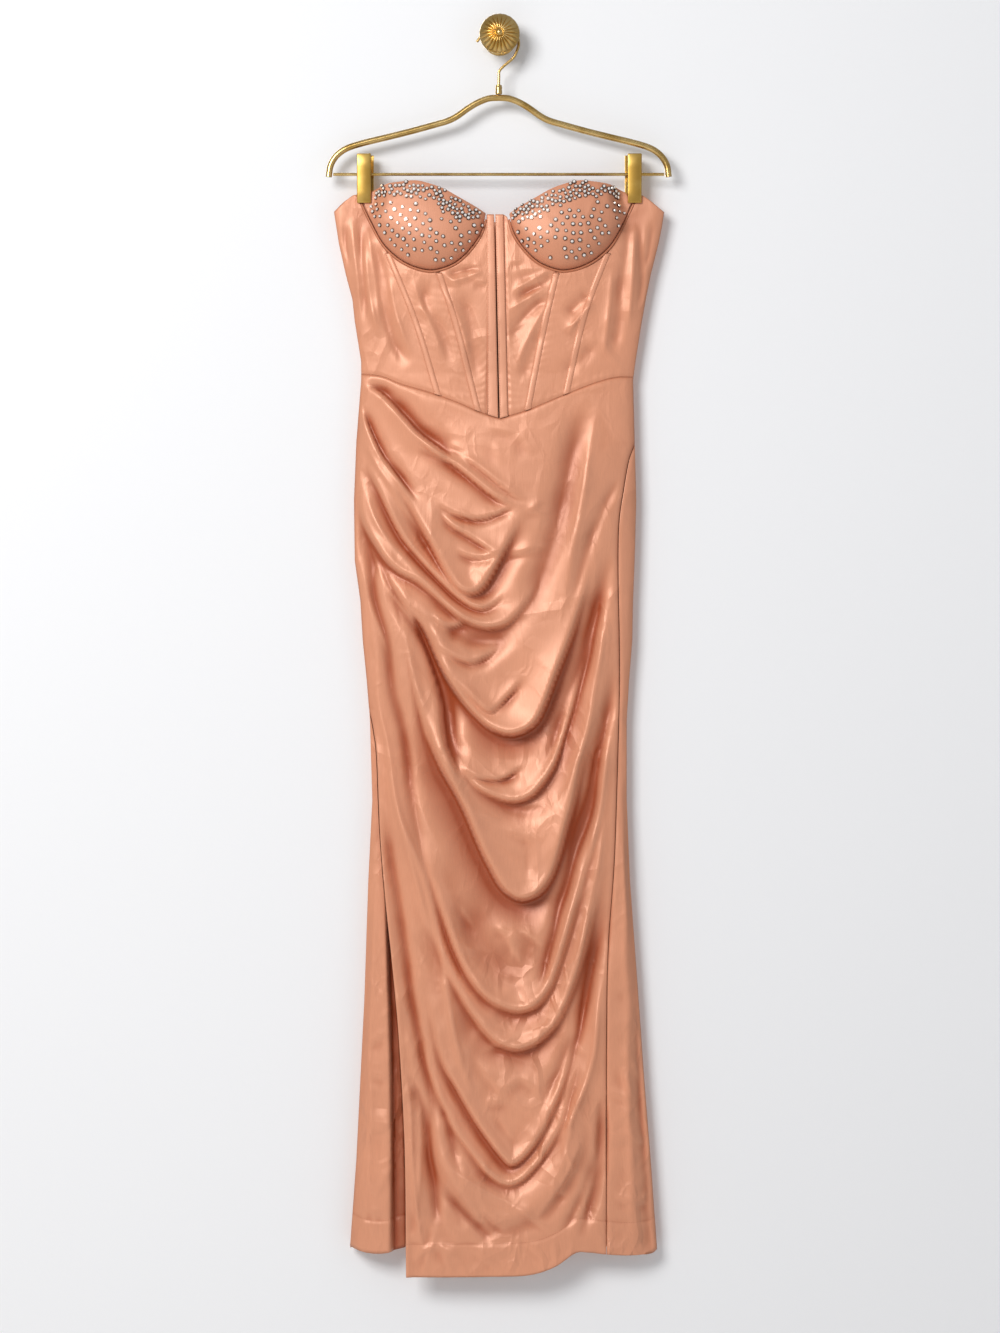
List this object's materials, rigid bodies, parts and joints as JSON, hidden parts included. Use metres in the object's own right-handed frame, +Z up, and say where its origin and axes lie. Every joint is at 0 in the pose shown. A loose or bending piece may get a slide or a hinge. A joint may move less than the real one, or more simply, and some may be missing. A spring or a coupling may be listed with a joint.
{
  "type": "prom dress on a clip hanger and wall hook",
  "caption": "Strapless corset prom dress in draped peach satin with jewelled cups and a side slit, hung by clips from a brass hanger on a fluted wall hook.",
  "frame": {"origin": "middle of the flat back face of the wall hook's plate, on the wall", "axes": "+Z up, -Y out of the wall towards the front of the dress, +X to the right as seen from the front"},
  "size_m": [0.4338, 0.0627, 1.5772],
  "materials": {
    "satin": "peach satin with a soft lustre",
    "cup_satin": "peach satin over padded cups, set with silver-grey stones",
    "binding": "narrow bias binding of the same satin",
    "brass": "brushed and lacquered",
    "clip_brass": "satin plated sheet"
  },
  "bodies": {
    "root": {"bodice_back_left": "satin", "bodice_back_right": "satin", "boning_inner_left": "satin", "boning_inner_right": "satin", "boning_outer_left": "satin", "boning_outer_right": "satin", "centre_front_left": "satin", "centre_front_right": "satin", "clip_back_left": "clip_brass", "clip_back_right": "clip_brass", "clip_barrel_left": "clip_brass", "clip_barrel_right": "clip_brass", "clip_front_left": "clip_brass", "clip_front_right": "clip_brass", "cup_binding_left": "binding", "cup_binding_right": "binding", "cup_left": "cup_satin", "cup_right": "cup_satin", "hanger_bar": "brass", "hanger_collar": "brass", "hanger_hook": "brass", "hanger_tube": "brass", "middle_front_left": "satin", "middle_front_right": "satin", "placket_left": "satin", "placket_right": "satin", "side_front_left": "satin", "side_front_right": "satin", "skirt_back_left": "satin", "skirt_back_right": "satin", "skirt_drape": "satin", "skirt_side_left": "satin", "skirt_side_right": "satin", "wall_knob": "brass", "wall_plate": "brass", "wall_stem": "brass"}
  },
  "joints": []
}
